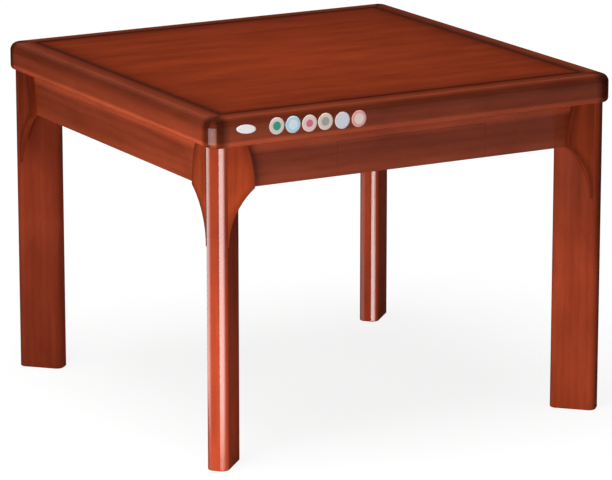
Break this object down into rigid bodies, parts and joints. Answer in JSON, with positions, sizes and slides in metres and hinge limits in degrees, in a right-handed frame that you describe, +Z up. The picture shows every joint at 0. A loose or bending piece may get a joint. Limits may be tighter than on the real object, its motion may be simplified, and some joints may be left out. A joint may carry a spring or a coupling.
{
  "type": "mahjong table",
  "caption": "Square wooden game table with a thick rounded rim, a lift-out reversible top panel, diagonal board legs with curved knee blocks and flush apron drawers.",
  "frame": {"origin": "on the floor below the middle of the square top", "axes": "+Z up; -Y towards the side called front; +X to the right as seen from that side"},
  "size_m": [0.98, 0.98, 0.75],
  "materials": {
    "lacquered_wood": "glossy red-brown lacquer over straight-grained hardwood",
    "panel_wood": "satin red-brown lacquered veneer",
    "drawer_wood": "sanded, clear sealed softwood",
    "plain_hardwood": "planed, unfinished hardwood",
    "plywood": "sanded plywood",
    "baize": "felted wool baize",
    "zinc_steel": "zinc plated"
  },
  "bodies": {
    "frame": {"rim_rail_front": "lacquered_wood", "apron_front": "lacquered_wood", "knee_block_front_left": "lacquered_wood", "knee_block_front_right": "lacquered_wood", "drawer_guides_front": "plain_hardwood", "rim_rail_right": "lacquered_wood", "apron_right": "lacquered_wood", "knee_block_right_left": "lacquered_wood", "knee_block_right_right": "lacquered_wood", "drawer_guides_right": "plain_hardwood", "rim_rail_back": "lacquered_wood", "apron_back": "lacquered_wood", "knee_block_back_left": "lacquered_wood", "knee_block_back_right": "lacquered_wood", "drawer_guides_back": "plain_hardwood", "rim_rail_left": "lacquered_wood", "apron_left": "lacquered_wood", "knee_block_left_left": "lacquered_wood", "knee_block_left_right": "lacquered_wood", "drawer_guides_left": "plain_hardwood", "leg_front_left": "lacquered_wood", "corner_brace_front_left": "plain_hardwood", "leg_front_right": "lacquered_wood", "corner_brace_front_right": "plain_hardwood", "leg_back_right": "lacquered_wood", "corner_brace_back_right": "plain_hardwood", "leg_back_left": "lacquered_wood", "corner_brace_back_left": "plain_hardwood", "base_board": "plywood", "leg_bolts": "zinc_steel", "leg_washers": "zinc_steel", "leg_nuts": "zinc_steel", "rim_brackets": "zinc_steel", "bracket_screws": "zinc_steel", "guide_screws": "zinc_steel"},
    "panel": {"top_panel": "panel_wood", "top_baize": "baize"},
    "drawer_front": {"drawer_front_face": "lacquered_wood", "drawer_front_side_left": "drawer_wood", "drawer_front_side_right": "drawer_wood", "drawer_front_rear": "drawer_wood", "drawer_front_bottom": "plywood"},
    "drawer_right": {"drawer_right_face": "lacquered_wood", "drawer_right_side_left": "drawer_wood", "drawer_right_side_right": "drawer_wood", "drawer_right_rear": "drawer_wood", "drawer_right_bottom": "plywood"},
    "drawer_back": {"drawer_back_face": "lacquered_wood", "drawer_back_side_left": "drawer_wood", "drawer_back_side_right": "drawer_wood", "drawer_back_rear": "drawer_wood", "drawer_back_bottom": "plywood"},
    "drawer_left": {"drawer_left_face": "lacquered_wood", "drawer_left_side_left": "drawer_wood", "drawer_left_side_right": "drawer_wood", "drawer_left_rear": "drawer_wood", "drawer_left_bottom": "plywood"}
  },
  "joints": [
    {"name": "panel_lift", "type": "slide", "parent": "frame", "child": "panel", "axis": [0, 0, 1], "range_m": [0, 0.12]},
    {"name": "drawer_front_slide", "type": "slide", "parent": "frame", "child": "drawer_front", "axis": [0, -1, 0], "range_m": [0, 0.19]},
    {"name": "drawer_right_slide", "type": "slide", "parent": "frame", "child": "drawer_right", "axis": [1, 0, 0], "range_m": [0, 0.19]},
    {"name": "drawer_back_slide", "type": "slide", "parent": "frame", "child": "drawer_back", "axis": [0, 1, 0], "range_m": [0, 0.19]},
    {"name": "drawer_left_slide", "type": "slide", "parent": "frame", "child": "drawer_left", "axis": [-1, 0, 0], "range_m": [0, 0.19]}
  ]
}
